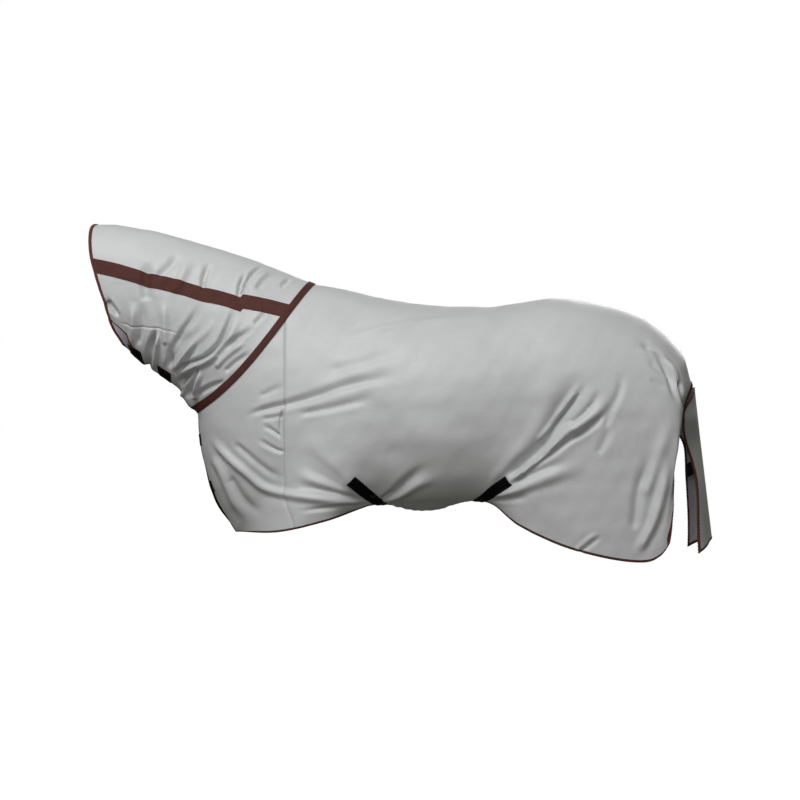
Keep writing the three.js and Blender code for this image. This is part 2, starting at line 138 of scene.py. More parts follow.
NECK_FOLDS = [
    (-9, 6, 9, [(-470, -297), (-410, -270), (-360, -250), (-315, -210), (-290, -160), (-275, -125),
                (-255, -80)]),
    (7, 9, 12, [(-455, -320), (-395, -285), (-335, -255), (-290, -215), (-262, -160), (-245, -110)]),
    (-6, 5, 8, [(-242, -50), (-225, 0), (-205, 35), (-165, 62)]),
    (-5, 5, 9, [(-252, -50), (-245, -5), (-225, 35)]),
    (-5, 7, 12, [(-372, -30), (-368, 20), (-350, 72)]),
    (-7, 8, 12, [(-495, -295), (-480, -230), (-440, -170), (-400, -115), (-380, -65)]),
    (-13, 12, 7, [(-575, -290), (-552, -215), (-528, -150)]),
    (7, 7, 7, [(-545, -285), (-530, -220), (-520, -160)]),
    (-7, 9, 14, [(-498, -290), (-460, -230), (-430, -185), (-405, -170)]),
    (8, 8, 13, [(-478, -300), (-410, -222), (-360, -165), (-325, -125)]),
    (-6, 9, 13, [(-455, -295), (-410, -235), (-378, -182), (-335, -128)]),
    (-8, 12, 6, [(-436, -388), (-414, -340), (-400, -310), (-375, -262)]),
    (8, 7, 7, [(-405, -395), (-392, -345), (-378, -300)]),
    (-11, 14, 9, [(-462, -345), (-425, -312), (-388, -282)]),
    (-6, 9, 8, [(-405, -382), (-340, -350), (-285, -332)]),
    (-6, 8, 9, [(-325, -255), (-280, -210), (-235, -180), (-192, -152)]),
    (-5, 8, 9, [(-295, -305), (-255, -270), (-200, -235)]),
    (5, 9, 9, [(-330, -290), (-270, -235), (-215, -200)]),
    (-3, 7, 8, [(-195, -145), (-158, -103)]),
    (-5, 9, 16, [(-600, -215), (-575, -135), (-580, -60)]),
    (5, 9, 14, [(-625, -225), (-612, -140), (-608, -60)]),
    (-5, 18, 18, [(-562, -65), (-566, 10), (-560, 75)]),
    (5, 12, 14, [(-498, -215), (-500, -125), (-505, -60)]),
    (-3.5, 12, 16, [(-530, 15), (-490, 50), (-455, 98)]),
    (3, 14, 16, [(-470, -40), (-440, 30), (-420, 90)]),
    (-8, 10, 7, [(-700, -60), (-655, -118)]),
    (-1.6, 3, 3, [(-655, -135), (-600, -150), (-525, -155), (-465, -170), (-415, -182)]),
    (-4, 8, 8, [(-110, -12), (-78, 18)]),
    (4, 9, 12, [(-205, -20), (-175, 25), (-140, 45)]),
    (7, 18, 18, [(-458, -366), (-440, -392), (-428, -412), (-415, -428), (-405, -436)]),
]
# Places where something sewn on holds the cloth flat: a line in the side view, and the reach round it.
SEWN_SPOTS = [
    ((-625, -228), (-588, -250), 30),
    ((-525, -300), (-492, -318), 26),
    ((132, -660), (199, -735), 26),
    ((650, -660), (570, -735), 26),
]
BODY_DEPTH = 1.75  # how deep the folds are against the heights listed
NECK_DEPTH = 2.1
NECK_STEP = 1.2  # the neck cover's base lies this much proud of the shoulder
SEAM_DIP = 2.4  # depth of the groove along the upright shoulder seam
SEAM_HALF = 5  # half width of that groove
BELLY_START = 6.04  # station of the belly flap's front edge
BELLY_SPAN = 1.92  # its width in stations
BELLY_LIFT = 4  # its gap outside the off side, with room for the hook-and-loop pads
STRAP_LIFT = 2.7  # height of the cross straps over the cloth's inner face
STITCH_HALF = 0.45  # half width of a stitch
DOCK_X = 1307  # where the tail flap leaves the dock
DOCK_Z = -353
FLAP_LENGTH = 521  # tail flap from dock to hem
FLOOR_Z = -1.62  # the ground under the horse that the sheet fits


def rgb(code):
    """sRGB hex to the linear values that shaders take."""
    parts = [int(code[i:i + 2], 16) / 255 for i in (0, 2, 4)]
    return [c / 12.92 if c <= 0.04045 else ((c + 0.055) / 1.055) ** 2.4 for c in parts] + [1.0]


# ---------------------------------------------------------------------------------------------------
# Shape of the cloth

def section(rows, at):
    """Values between the stations, on a smooth curve that turns sharply only at the hem's corner."""
    first = np.clip(np.floor(at).astype(int), 0, len(rows) - 2)
    t = (at - first)[..., None]
    p, q = rows[first], rows[first + 1]
    leave = (q - rows[np.maximum(first - 1, 0)]) / 2
    arrive = (rows[np.minimum(first + 2, len(rows) - 1)] - p) / 2
    if rows is BODY:
        low = np.zeros(rows.shape[1], bool)
        low[LOW_COLUMNS] = True
        leave = np.where((first == CORNER)[..., None] & low, q - p, leave)
        arrive = np.where((first + 1 == CORNER)[..., None] & low, q - p, arrive)
    inside = p + t * (leave + t * (3 * (q - p) - 2 * leave - arrive + t * (2 * (p - q) + leave + arrive)))
    return np.where(t < 0, p + t * (q - p), inside)


def skin(rows, at, down, side):
    """Points of the covered shape: down runs from 0 on the top line to 1 on the lower edge."""
    at, down = np.broadcast_arrays(np.asarray(at, float), np.asarray(down, float))
    s = np.moveaxis(section(rows, at), -1, 0)
    top_x, top_z, top_y, low_x, low_z, low_y, widest, where, curl, bow_x, bow_z, skew = s
    rise = down / WIDEST_SHARE * math.pi / 2
    curl = np.radians(curl)
    turn = curl * (down - WIDEST_SHARE) / (1 - WIDEST_SHARE)
    upper = down < WIDEST_SHARE
    share = np.where(upper, where * (1 - np.cos(rise)), where + (1 - where) * np.sin(turn) / np.sin(curl))
    top_y = np.maximum(0, top_y)
    inwards = (1 - np.cos(turn)) / (1 - np.cos(curl))
    out = np.where(upper, top_y + (widest - top_y) * np.sin(rise),
                   widest + (np.maximum(FRONT_HALF, low_y) - widest) * inwards)
    bow = 4 * share * (1 - share) * (1 + skew * (2 * share - 1))
    x = top_x + (low_x - top_x) * share + bow_x * bow
    z = top_z + (low_z - top_z) * share + bow_z * bow
    return np.stack([x, side * out, z], axis=-1)


def unit(v):
    return v / np.maximum(np.linalg.norm(v, axis=-1, keepdims=True), 1e-9)


def smooth(low, high, value):
    t = np.clip((value - low) / (high - low), 0, 1)
    return t * t * (3 - 2 * t)


def spline(points, count):
    """Points spaced along a smooth curve through the given ones."""
    points = np.asarray(points, float)
    return section(points, np.linspace(0, len(points) - 1, count))


def fold(x, z, height, start_width, end_width, line):
    """Height of one fold over side-view points: rounded across, with shallow shoulders, faded at its ends."""
    route = spline(line, 6 * len(line))
    reach = 3.2 * max(start_width, end_width)
    near = ((x > route[:, 0].min() - reach) & (x < route[:, 0].max() + reach)
            & (z > route[:, 1].min() - reach) & (z < route[:, 1].max() + reach))
    total = np.zeros_like(x)
    if not near.any():
        return total
    px, pz = x[near], z[near]
    best = np.full(px.shape, 1e9)
    along = np.zeros(px.shape)
    legs = np.diff(route, axis=0)
    lengths = np.hypot(*legs.T)
    passed = np.concatenate([[0], np.cumsum(lengths)])
    for (ax, az), (dx, dz), length, done in zip(route[:-1], legs, lengths, passed):
        t = np.clip(((px - ax) * dx + (pz - az) * dz) / max(length ** 2, 1e-6), 0, 1)
        gap = np.hypot(px - ax - t * dx, pz - az - t * dz)
        closer = gap < best
        best = np.where(closer, gap, best)
        along = np.where(closer, (done + t * length) / passed[-1], along)
    width = start_width + (end_width - start_width) * along
    u = best / width
    ends = smooth(0, 0.12, along) * (1 - smooth(0.62, 1, along)) * 0.9 + 0.1 * (1 - along)
    total[near] = height * ends * (1 - 0.5 * u * u) * np.exp(-0.5 * u * u)
    return total


RANDOM = np.random.default_rng(7)


def random_waves(count, shortest, longest):
    """Length, heading and phase of each wave."""
    return [
        (RANDOM.uniform(shortest, longest), RANDOM.uniform(0, math.pi), RANDOM.uniform(0, 2 * math.pi))
        for _ in range(count)
    ]


WAVES = random_waves(14, 60, 230)
FINE_WAVES = random_waves(12, 16, 44)


def slack(x, z, waves, height):
    """Soft unevenness of cloth that hangs a little loose."""
    total = np.zeros_like(x)
    for length, heading, phase in waves:
        total += np.sin((x * math.cos(heading) + z * math.sin(heading)) * 2 * math.pi / length + phase)
    return total * height / math.sqrt(len(waves))


def relief(p, side, folds):
    """How far the cloth stands off the covered shape, in millimetres."""
    x, y, z = p[..., 0], p[..., 1], p[..., 2]
    if side > 0:  # the off side creases in its own way, away from the top line
        own = smooth(10, 90, y)
        x, z = x + own * 14 * np.sin(z / 70), z + own * 11 * np.sin(x / 95 + 1)
    shape = x.shape
    x, z = x.ravel(), z.ravel()
    depth = NECK_DEPTH if folds is NECK_FOLDS else BODY_DEPTH
    total = slack(x, z, WAVES, 0.8) + slack(x, z, FINE_WAVES, 0.12)
    for height, *crease in folds:
        total += fold(x, z, height * depth, *crease)
    for (ax, az), (bx, bz), reach in SEWN_SPOTS:
        t = np.clip(((x - ax) * (bx - ax) + (z - az) * (bz - az)) / ((bx - ax) ** 2 + (bz - az) ** 2), 0, 1)
        gap = np.hypot(x - ax - t * (bx - ax), z - az - t * (bz - az))
        total *= 1 - 0.85 * np.exp(-((gap / reach) ** 2))
    return total.reshape(shape)


def normals_of(grid, side):
    """Outward normals of a grid of points, rows down and columns towards the tail."""
    across = np.gradient(grid, axis=1)
    down = np.gradient(grid, axis=0)
    return side * unit(np.cross(across, down))


def drape(rows, at, down, side, lift=0.0):
    """The cloth's own surface: the covered shape with its folds, or a surface that stands off it."""
    at, down = np.broadcast_arrays(np.asarray(at, float), np.asarray(down, float))
    p = skin(rows, at, down, side)
    slope_at = skin(rows, at + STEP, down, side) - skin(rows, at - STEP, down, side)
    low, high = np.maximum(down - STEP, 1e-5), np.minimum(down + STEP, 1)
    slope_down = skin(rows, at, high, side) - skin(rows, at, low, side)
    out = side * unit(np.cross(slope_at, slope_down))
    height = relief(p, side, NECK_FOLDS if rows is NECK else BODY_FOLDS)
    if rows is NECK:  # the binding at the base of the neck holds the cloth flat
        height = height * (1 - smooth(NECK_BASE - 0.2, NECK_BASE, at)) + NECK_STEP * smooth(3.7, 3.9, at)
    else:
        height = height * smooth(0, 0.18, at)
        height = height - SEAM_DIP * np.exp(-(((p[..., 0] - seam_x(down)) / SEAM_HALF) ** 2)) * (down > 0.3)
        height = height * (1 - 0.7 * smooth(REAR - 0.1, REAR, at))
    return p + out * (height + lift)[..., None]


def seam_x(down):
    """Where the upright seam behind the shoulder runs."""
    return -91 + 34 * smooth(0.8, 1.0, down)


def station_at_x(down, x):
    """Stations where the body passes a given x."""
    down, x = np.broadcast_arrays(np.asarray(down, float), np.asarray(x, float))
    low = np.zeros_like(down)
    high = np.full_like(down, REAR)
    for _ in range(30):
        middle = (low + high) / 2
        before = skin(BODY, middle, down, 1)[..., 0] < x
        low, high = np.where(before, middle, low), np.where(before, high, middle)
    return low


def near_side(x, z):
    """Station and share of the near side's lower half at points of the side view."""
    low, high = np.full(x.shape, WIDEST_SHARE), np.full(x.shape, 1.0)
    for _ in range(24):
        middle = (low + high) / 2
        above = skin(BODY, station_at_x(middle, x), middle, -1)[..., 2] > z
        low, high = np.where(above, middle, low), np.where(above, high, middle)
    return station_at_x(low, x), low


def band_share(at, top_of_band):
    """Share of the neck's section where a line across the neck passes it."""
    low, high = np.zeros_like(at), np.ones_like(at)
    for _ in range(30):
        middle = (low + high) / 2
        p = skin(NECK, at, middle, 1)
        above = p[..., 2] > top_of_band(p[..., 0])
        low, high = np.where(above, middle, low), np.where(above, high, middle)
    return low


# ---------------------------------------------------------------------------------------------------
# Mesh making

def new_mesh(name, points, faces, uvs, inner_faces, finishes):
    """A mesh object from points in millimetres; faces counted in inner_faces take the second finish."""
    mesh = bpy.data.meshes.new(name)
    mesh.from_pydata((points * MM).tolist(), [], faces.tolist())
    layer = mesh.uv_layers.new(name="UVMap")
    layer.data.foreach_set("uv", (uvs[faces.ravel()] * MM).ravel())
    for finish in finishes:
        mesh.materials.append(finish)
    if len(finishes) > 1:
        slots = np.zeros(len(faces), int)
        slots[inner_faces] = 1
        mesh.polygons.foreach_set("material_index", slots)
    obj = bpy.data.objects.new(name, mesh)
    bpy.context.collection.objects.link(obj)
    mesh.shade_smooth()
    mesh.set_sharp_from_angle(angle=math.radians(50))
    return obj


def shell(name, grid, side, lift, thick, finishes):
    """A closed sheet over a grid of points: lift off the surface to lift + thick, with real-size UVs."""
    normal = normals_of(grid, side)
    outer, inner = grid + normal * (lift + thick), grid + normal * lift
    rows, cols = grid.shape[:2]
    count = rows * cols
    index = np.arange(count).reshape(rows, cols)
    a, b = index[:-1, :-1], index[1:, :-1]
    c, d = index[1:, 1:], index[:-1, 1:]
    top = np.stack([a, b, c, d], -1).reshape(-1, 4)
    bottom = np.stack([a, d, c, b], -1).reshape(-1, 4) + count

    def wall(edge):
        return np.stack([edge[1:], edge[:-1], edge[:-1] + count, edge[1:] + count], -1)

    walls = np.concatenate([wall(index[0, ::-1]), wall(index[-1]), wall(index[:, 0]), wall(index[::-1, -1])])
    faces = np.concatenate([top, bottom, walls])
    if side > 0:
        faces = faces[:, ::-1]
    u = np.concatenate([np.zeros((rows, 1)), np.cumsum(np.linalg.norm(np.diff(grid, axis=1), axis=-1), 1)], 1)
    v = np.concatenate([np.zeros((1, cols)), np.cumsum(np.linalg.norm(np.diff(grid, axis=0), axis=-1), 0)], 0)
    uvs = np.stack([u, v], -1).reshape(-1, 2)
    inner_faces = np.arange(len(top), len(top) + len(bottom))
    points = np.concatenate([outer.reshape(-1, 3), inner.reshape(-1, 3)])
    return new_mesh(name, points, faces, np.concatenate([uvs, uvs]), inner_faces, finishes)


def swept(name, centre, across, normal, profile, finishes):
    """A closed solid of one profile swept along a line; profile points are (across, normal) in mm."""
    rings, sides = len(centre), len(profile)
    points = centre[:, None] + across[:, None] * profile[None, :, :1] + normal[:, None] * profile[None, :, 1:]
    index = np.arange(rings * sides).reshape(rings, sides)
    after = np.roll(index, -1, axis=1)
    faces = np.stack([index[:-1], after[:-1], after[1:], index[1:]], -1).reshape(-1, 4)
    along = np.concatenate([[0], np.cumsum(np.linalg.norm(np.diff(centre, axis=0), axis=-1))])
    uvs = np.stack([np.repeat(along, sides), np.tile(profile[:, 0], rings)], -1)
    obj = new_mesh(name, points.reshape(-1, 3), faces, uvs, [], finishes)
    turn_outwards(obj, close_ends=True)
    return obj


def turn_outwards(obj, close_ends=False):
    """Makes the faces look outwards, after closing any open ends if asked."""
    bpy.ops.object.select_all(action="DESELECT")
    obj.select_set(True)
    bpy.context.view_layer.objects.active = obj
    bpy.ops.object.mode_set(mode="EDIT")
    if close_ends:
        bpy.ops.mesh.select_all(action="DESELECT")
        bpy.ops.mesh.select_mode(type="EDGE")
        bpy.ops.mesh.select_non_manifold()
        bpy.ops.mesh.fill()
    bpy.ops.mesh.select_all(action="SELECT")
    bpy.ops.mesh.normals_make_consistent(inside=False)
    bpy.ops.object.mode_set(mode="OBJECT")
    obj.select_set(False)


def folded_tape(width, half):
    """Section of a binding folded over a cloth edge: (in from the edge, off the cloth)."""
    gap = CLOTH / 2 + 0.1
    return np.array([
        (width, gap), (width, half), (width * 0.7, half * 1.12), (0.6, half * 1.05), (-0.4, half * 0.7),
        (-0.9, 0), (-0.4, -half * 0.7), (0.6, -half * 1.05), (width * 0.7, -half * 1.12), (width, -half),
        (width, -gap), (0.4, -gap), (0.2, 0), (0.4, gap),
    ])


def binding(name, replaced, edge, inside, width, half, finish, gather=0.0, **place):
    """A binding along an edge; inside is the same line a little way into the cloth."""
    inward = unit(inside - edge)
    along = unit(np.gradient(edge, axis=0))
    normal = unit(np.cross(along, inward))
    steps = np.concatenate([[0], np.cumsum(np.linalg.norm(np.diff(edge, axis=0), axis=-1))])
    ripple = gather * np.sin(steps * 2 * math.pi / 11) + 0.5 * gather * np.sin(steps * 2 * math.pi / 4.7 + 1)
    centre = edge + normal * ripple[:, None] - inward * (0.6 * np.abs(ripple) * gather)[:, None]
    return riding(swept(name, centre, inward, normal, folded_tape(width, half), [finish]), replaced, **place)


# ---------------------------------------------------------------------------------------------------
# Finishes

def node(tree, kind, settings=None, **links):
    """Adds a node with its settings; inputs are given by name or as i0, i1, each a value or an output."""
    made = tree.nodes.new(kind)
    for key, value in (settings or {}).items():
        setattr(made, key, value)
    for key, value in links.items():
        by_number = key in ("i0", "i1", "i2")
        socket = made.inputs[int(key[1:]) if by_number else key.replace("_", " ")]
        if isinstance(value, bpy.types.NodeSocket):
            tree.links.new(value, socket)
        else:
            socket.default_value = value
    return made


def plus(tree, a, share, b):
    """a times share, plus b."""
    return node(tree, "ShaderNodeMath", {"operation": "MULTIPLY_ADD"}, i0=a, i1=share, i2=b).outputs[0]


def noise(tree, place, stretch, detail=3.0):
    """Noise in metres, stretched along the piece."""
    scaled = node(tree, "ShaderNodeMapping", Vector=place, Scale=(*stretch, 1)).outputs[0]
    return node(tree, "ShaderNodeTexNoise", Vector=scaled, Scale=1.0, Detail=detail).outputs[0]


def ribs(tree, place, pitch_mm, direction, distortion=0.6):
    """Raised lines a given number of millimetres apart."""
    return node(tree, "ShaderNodeTexWave", {"wave_type": "BANDS", "bands_direction": direction}, Vector=place,
                Scale=2 * math.pi / (pitch_mm * MM * 20), Distortion=distortion, Detail=1.0).outputs[1]


def start_finish(name, roughness, sheen=0.0, specular=0.5):
    """A new material with its constants set; patterns are laid by the piece's own UVs, in metres."""
    finish = bpy.data.materials.new(name)
    finish.use_nodes = True
    shader = finish.node_tree.nodes["Principled BSDF"]
    shader.inputs["Roughness"].default_value = roughness
    shader.inputs["Sheen Weight"].default_value = sheen
    shader.inputs["Sheen Roughness"].default_value = 0.4
    shader.inputs["Specular IOR Level"].default_value = specular
    place = node(finish.node_tree, "ShaderNodeTexCoord").outputs["UV"]
    return finish, finish.node_tree, shader, place


def colour_between(tree, shader, shade, low, dark, high, colour):
    """Base colour from dark to light as the shade goes from low to high."""
    ramp = node(tree, "ShaderNodeValToRGB", i0=shade)
    for element, position, code in zip(ramp.color_ramp.elements, (low, high), (dark, colour)):
        element.position = position
        element.color = rgb(code)
    tree.links.new(ramp.outputs["Color"], shader.inputs["Base Color"])


def raise_surface(tree, shader, height, depth_mm, strength):
    """Fine relief too small for the mesh."""
    bump = node(tree, "ShaderNodeBump", Strength=strength, Distance=depth_mm * MM, Height=height)
    tree.links.new(bump.outputs[0], shader.inputs["Normal"])


def cloth_finish(name, colour, dark, roughness, sheen):
    """Silvery polyester knit: a tight satiny face with fine slanting ribs and faint slubs, which gives the
    sheet its soft broad highlights. The ribs are 2.4 mm apart, coarser than the real 0.8 mm, to be seen."""
    finish, tree, shader, place = start_finish(name, roughness, sheen)
    slubs = noise(tree, place, (16, 150), 4.0)
    cloudy = noise(tree, place, (7, 7))
    shade = plus(tree, cloudy, 0.6, plus(tree, slubs, 0.4, 0.0))
    colour_between(tree, shader, shade, 0.35, dark, 0.65, colour)
    raise_surface(tree, shader, plus(tree, slubs, 0.8, ribs(tree, place, 2.4, "DIAGONAL")), 0.3, 0.12)
    return finish


def webbing_finish(name, colour, dark, pitch_mm, roughness, specular, relief_share=0.5):
    """Woven webbing or tape: ribs across it, with threads along it, catch the light as fine lines."""
    finish, tree, shader, place = start_finish(name, roughness, 0.0, specular)
    weave = plus(tree, ribs(tree, place, pitch_mm, "X", 0.8), relief_share, noise(tree, place, (60, 400)))
    shade = plus(tree, noise(tree, place, (30, 30), 2.0), 0.5, weave)
    colour_between(tree, shader, shade, 0.55, dark, 1.0, colour)
    raise_surface(tree, shader, weave, 0.5, 0.5)
    return finish


def thread_finish(name, colour, dark):
    """Twisted polyester sewing thread: short slanting light and dark turns."""
    finish, tree, shader, place = start_finish(name, 0.6, 0.1, 0.3)
    colour_between(tree, shader, ribs(tree, place, 1.2, "DIAGONAL"), 0.2, dark, 0.8, colour)
    return finish


def pile_finish(name, colour, dark):
    """Hook-and-loop pile: a dull, fuzzy face of tiny loops."""
    finish, tree, shader, place = start_finish(name, 0.9, 0.05, 0.05)
    loops = noise(tree, place, (900, 900), 2.0)
    colour_between(tree, shader, loops, 0.35, dark, 0.65, colour)
    raise_surface(tree, shader, loops, 0.8, 0.8)
    return finish


SILVER = cloth_finish("polyester_knit_silver", "C5C6C8", "BFC0C2", 0.5, 0.1)
# The inner face: partly its own whitish-lilac colour, partly painted light, since it is set lighter than the
# cloth's own colour to stand in for light that shines through the thin cloth.
LINING = cloth_finish("polyester_knit_inner_face_painted_light", "DAD8E2", "D2D0DB", 0.6, 0.1)
BROWN = webbing_finish("polyester_webbing_brown", "58332E", "3A1F1B", 2.6, 0.75, 0.2)
BROWN_TAPE = webbing_finish("folded_binding_tape_brown", "54302B", "371C19", 3.0, 0.75, 0.2)
GATHERED = webbing_finish("gathered_binding_brown", "663A31", "28110F", 7.0, 0.8, 0.2, 0.9)
BLACK = webbing_finish("polypropylene_webbing_black", "0E0C0D", "060505", 2.6, 0.6, 0.04)
BLACK_NYLON = webbing_finish("moulded_nylon_black", "100F10", "0A090A", 1.6, 0.4, 0.3, 0.1)
LOOP_PILE = pile_finish("hook_and_loop_pile_black", "0F0D0E", "050505")
THREAD = thread_finish("sewing_thread_brown", "6A463F", "4A2C28")
GREY_THREAD = thread_finish("overlock_thread_grey", "7A7A7D", "565659")
DARK_THREAD = thread_finish("sewing_thread_black", "1C191A", "0C0A0B")
DARK_RED_THREAD = thread_finish("sewing_thread_dark_red", "4A1B1A", "2A0E0E")


# ---------------------------------------------------------------------------------------------------
# The pieces


def riding(obj, *replaced, body="sheet", bends=False):
    """Puts a piece on its body, in place of CAD nodes; one that bends is put on no body, its placement baked
    into its mesh.
    """
    if bends:
        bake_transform(obj)
    else:
        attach(obj, body)
    nodes = [name for name in replaced if name]
    if nodes:
        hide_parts(*nodes)
    return obj


def strip(name, replaced, grid, side, lift, thick, finish, crown=0.0, **place):
    """Flat tape or webbing over a grid of points, a little thicker along its middle."""
    across = np.linspace(-1, 1, grid.shape[0])[:, None, None]
    grid = grid + normals_of(grid, side) * crown * (1 - across ** 4)
    return riding(shell(name, grid, side, lift, thick, [finish]), replaced, **place)


def thread(name, points, directions, normals, long, thick, finish):
    """Separate stitches: short six-sided lengths of thread laid along the directions."""
    angles = np.linspace(0, 2 * math.pi, 6, endpoint=False)
    ring = [(math.cos(a) * thick, math.sin(a) * thick * 0.7) for a in angles]
    verts, faces = [], []
    for p, d, n in zip(points, directions, normals):
        d, n = unit(d), unit(n)
        w = np.cross(d, n)
        base = len(verts)
        for along, grow in ((-0.5, 0.25), (-0.3, 1), (0.3, 1), (0.5, 0.25)):
            dip = -0.6 * thick if grow < 1 else 0.3 * thick
            verts += [p + d * long * along + w * a * grow + n * (b * grow + dip) for a, b in ring]
        for k in range(3):
            low, high = base + 6 * k, base + 6 * (k + 1)
            for i in range(6):
                j = (i + 1) % 6
                faces.append([low + i, low + j, high + j, high + i])
        for k in (0, 3):
            cap = [base + 6 * k + i for i in range(6)]
            if k == 0:
                cap.reverse()
            faces += [cap[:4], [cap[0], cap[3], cap[4], cap[5]]]
    verts = np.array(verts)
    obj = new_mesh(name, verts, np.array(faces), verts[:, [0, 2]], [], [finish])
    turn_outwards(obj)
    return obj


def running_stitch(name, line, normal, finish, body="sheet", pitch=6.0, long=4.2, thick=STITCH_HALF,
                   across=None):
    """A row of stitches along a line; across turns each stitch over the line, as in overlocking."""
    steps = np.concatenate([[0], np.cumsum(np.linalg.norm(np.diff(line, axis=0), axis=-1))])
    marks = np.arange(pitch / 2, steps[-1], pitch)
    at = np.stack([np.interp(marks, steps, line[:, k]) for k in range(3)], -1)
    n = unit(np.stack([np.interp(marks, steps, normal[:, k]) for k in range(3)], -1))
    slope = unit(np.gradient(line, axis=0))
    d = unit(np.stack([np.interp(marks, steps, slope[:, k]) for k in range(3)], -1))
    if across:
        d = unit(np.cross(n, d) + across * d)
    return riding(thread(name, at + n * 0.4, d, n, long, thick, finish), body=body)


# The two front edges of the neck cover: share of the section, and the edge's station there.
FRONT_CUT = np.array([
    [0, 0.04], [0.12, -0.06], [0.3, -0.05], [0.42, 0.05], [0.52, 0.12], [0.62, 0.06], [0.655, 0.12],
    [0.695, 0.52], [0.755, 0.72], [0.85, 0.66], [0.93, 0.5], [1, 0.42],
])
OFF_FRONT = np.array([
    [0, 0.04], [0.12, -0.06], [0.3, -0.05], [0.42, 0.05], [0.55, 0.02], [0.66, -0.4], [0.78, -0.5],
    [0.9, -0.38], [1, -0.2],
])


def edge_of(rows, at, down, side):
    """The middle of the cloth's thickness."""
    return drape(rows, at, down, side, CLOTH / 2)


def front_of_neck(down, side):
    """Station of the poll edge: the near side is cut back at the throat, the off side hangs forward."""
    table = FRONT_CUT if side < 0 else OFF_FRONT
    smoothed = spline(table, 12 * len(table))
    return np.interp(down, smoothed[:, 0], smoothed[:, 1])


def top_of_band(x, drop=0.0):
    """Height of the neck band's upper edge: straight runs between the places where a pleat kinks it."""
    line = np.where(x < -240, 84.4 - 0.268 * (x + 753), -44.5 - 0.24 * (x + 223))
    sag = 4 * np.abs(np.sin(math.pi * np.interp(x, [-753, -561, -372, -240, -238, -55], [0, 1, 2, 3, 3, 4])))
    return line + sag - drop


def make_neck(label, side):
    """One side's neck cover with its edge bindings, its webbing band and the tape over its seam."""
    downs = np.linspace(TOP_SHARE, 1, 190)
    first = front_of_neck(downs, side)
    at = first[:, None] + (NECK_BASE - first)[:, None] * np.linspace(0, 1, 220)[None]
    grid = drape(NECK, at, downs[:, None], side)
    panel = shell(f"neck_cover_{label}", grid, side, 0, CLOTH, [SILVER, LINING])
    riding(panel, f"neck_crest_panel_{label}", f"neck_throat_panel_{label}")

    fine = np.linspace(TOP_SHARE, 1, 420)
    start = front_of_neck(fine, side)
    edge, inside = edge_of(NECK, start, fine, side), edge_of(NECK, start + 0.03, fine, side)
    binding(f"poll_edge_{label}", f"poll_binding_{label}", edge, inside, 11, 2.3, GATHERED, gather=0.7)
    ats = np.linspace(front_of_neck(1.0, side), NECK_BASE - 0.03, 260)
    edge, inside = edge_of(NECK, ats, 1.0, side), edge_of(NECK, ats, 0.985, side)
    binding(f"throat_edge_{label}", f"throat_binding_{label}", edge, inside, 7, 1.2, BROWN_TAPE)

    stations = np.linspace(0.04, NECK_BASE - 0.02, 240)
    upper = band_share(stations, top_of_band)
    lower = band_share(stations, lambda x: top_of_band(x, 49))
    rows = upper + (lower - upper) * np.linspace(0, 1, 9)[:, None]
    grid = drape(NECK, stations[None], rows, side)
    strip(f"neck_webbing_{label}", f"neck_band_{label}", grid, side, CLOTH + 0.3, 1.2, BROWN)
    normal = normals_of(grid, side)
    for edge, row in (("upper", 1), ("lower", -2)):
        line = grid[row] + normal[row] * (CLOTH + 1.5)
        running_stitch(f"band_stitching_{edge}_{label}", line, normal[row], THREAD, pitch=7)

    downs = np.linspace(TOP_SHARE, 1, 150)
    step, width = 0.12, 21
    before = skin(NECK, NECK_BASE - step, downs, 1)
    stretch = np.linalg.norm(skin(NECK, NECK_BASE, downs, 1) - before, axis=-1)
    at = NECK_BASE - step * width / stretch * np.linspace(1, -0.02, 9)[:, None]
    grid = drape(NECK, at, downs[None], side)
    strip(f"neck_seam_tape_{label}", f"neck_seam_binding_{label}", grid, -side, CLOTH + 0.3, 1.5, BROWN_TAPE,
          crown=0.7)
    normal = normals_of(grid, -side)
    for edge, row in (("front", 1), ("rear", -2)):
        line = grid[row] + normal[row] * (CLOTH + 2.2)
        running_stitch(f"neck_seam_stitching_{edge}_{label}", line, normal[row], THREAD, pitch=6.5)
    return panel


